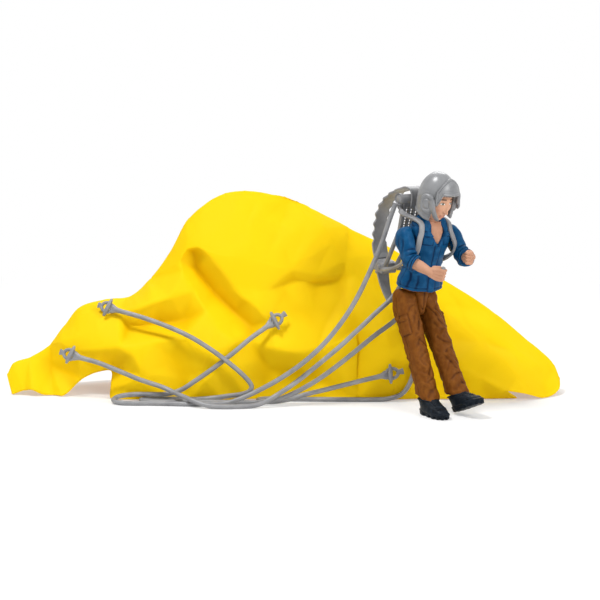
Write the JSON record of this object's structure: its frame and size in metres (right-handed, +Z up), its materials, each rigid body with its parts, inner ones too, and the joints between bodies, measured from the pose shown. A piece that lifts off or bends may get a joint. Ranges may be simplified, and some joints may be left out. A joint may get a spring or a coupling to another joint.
{
  "type": "toy parachute",
  "caption": "Toy parachute lying collapsed: draped cloth canopy, moulded lines with toggles, and a jointed parachutist with harness pack and lift-off helmet.",
  "frame": {"origin": "centre of the footprint, on the surface that the toy lies on", "axes": "+X along the canopy, to the right seen from the front; the front faces -Y; +Z up"},
  "size_m": [0.2361, 0.1124, 0.0972],
  "materials": {
    "yellow_nylon": "thin woven nylon with a soft sheen",
    "grey_plastic": "satin moulded plastic",
    "helmet_plastic": "semi-gloss moulded plastic",
    "blue_shirt": "matt moulded plastic",
    "brown_trousers": "matt moulded plastic",
    "dark_boots": "satin moulded plastic",
    "skin": "matt moulded plastic"
  },
  "bodies": {
    "parachute": {"canopy": "yellow_nylon", "ring_1": "grey_plastic", "ring_2": "grey_plastic", "ring_3": "grey_plastic", "ring_4": "grey_plastic", "toggle_1": "grey_plastic", "toggle_2": "grey_plastic", "toggle_3": "grey_plastic", "toggle_4": "grey_plastic", "line_1": "grey_plastic", "line_2": "grey_plastic", "line_3": "grey_plastic", "line_4": "grey_plastic", "pack_frame": "grey_plastic", "closing_strap": "grey_plastic", "buckle_block": "grey_plastic", "strap_tail": "grey_plastic", "shoulder_strap_right": "grey_plastic", "shoulder_strap_left": "grey_plastic", "torso": "blue_shirt", "pelvis": "brown_trousers", "neck": "skin", "shoulder_axle": "grey_plastic"},
    "head": {"head": "skin"},
    "helmet": {"helmet_shell": "helmet_plastic", "visor": "helmet_plastic", "ear_cup_right": "helmet_plastic", "ear_cup_left": "helmet_plastic", "chin_guard_right": "helmet_plastic", "chin_guard_left": "helmet_plastic"},
    "arm_right": {"sleeve_right": "blue_shirt", "forearm_right": "skin"},
    "arm_left": {"sleeve_left": "blue_shirt", "forearm_left": "skin"},
    "leg_right": {"leg_right": "brown_trousers", "boot_right": "dark_boots"},
    "leg_left": {"leg_left": "brown_trousers", "boot_left": "dark_boots"}
  },
  "joints": [
    {"name": "head_turn", "type": "hinge", "parent": "parachute", "child": "head", "pos_m": [0.05894, -0.03619, 0.07795], "axis": [0.1416, -0.1755, 0.9743], "range_deg": [-35, 35]},
    {"name": "helmet_lift", "type": "slide", "parent": "head", "child": "helmet", "axis": [0.1416, -0.1755, 0.9743], "range_m": [0, 0.02]},
    {"name": "arm_right_swing", "type": "hinge", "parent": "parachute", "child": "arm_right", "pos_m": [0.05795, -0.03497, 0.07113], "axis": [-0.819, -0.5735, 0.0157], "range_deg": [-15, 75]},
    {"name": "arm_left_swing", "type": "hinge", "parent": "parachute", "child": "arm_left", "pos_m": [0.05795, -0.03497, 0.07113], "axis": [-0.819, -0.5735, 0.0157], "range_deg": [-35, 55]},
    {"name": "leg_right_swing", "type": "hinge", "parent": "parachute", "child": "leg_right", "pos_m": [0.05201, -0.03089, 0.0419], "axis": [-0.7982, -0.5589, -0.2249], "range_deg": [-30, 45]},
    {"name": "leg_left_swing", "type": "hinge", "parent": "parachute", "child": "leg_left", "pos_m": [0.05539, -0.02851, 0.0419], "axis": [-0.7982, -0.5589, 0.2249], "range_deg": [-30, 30]}
  ]
}
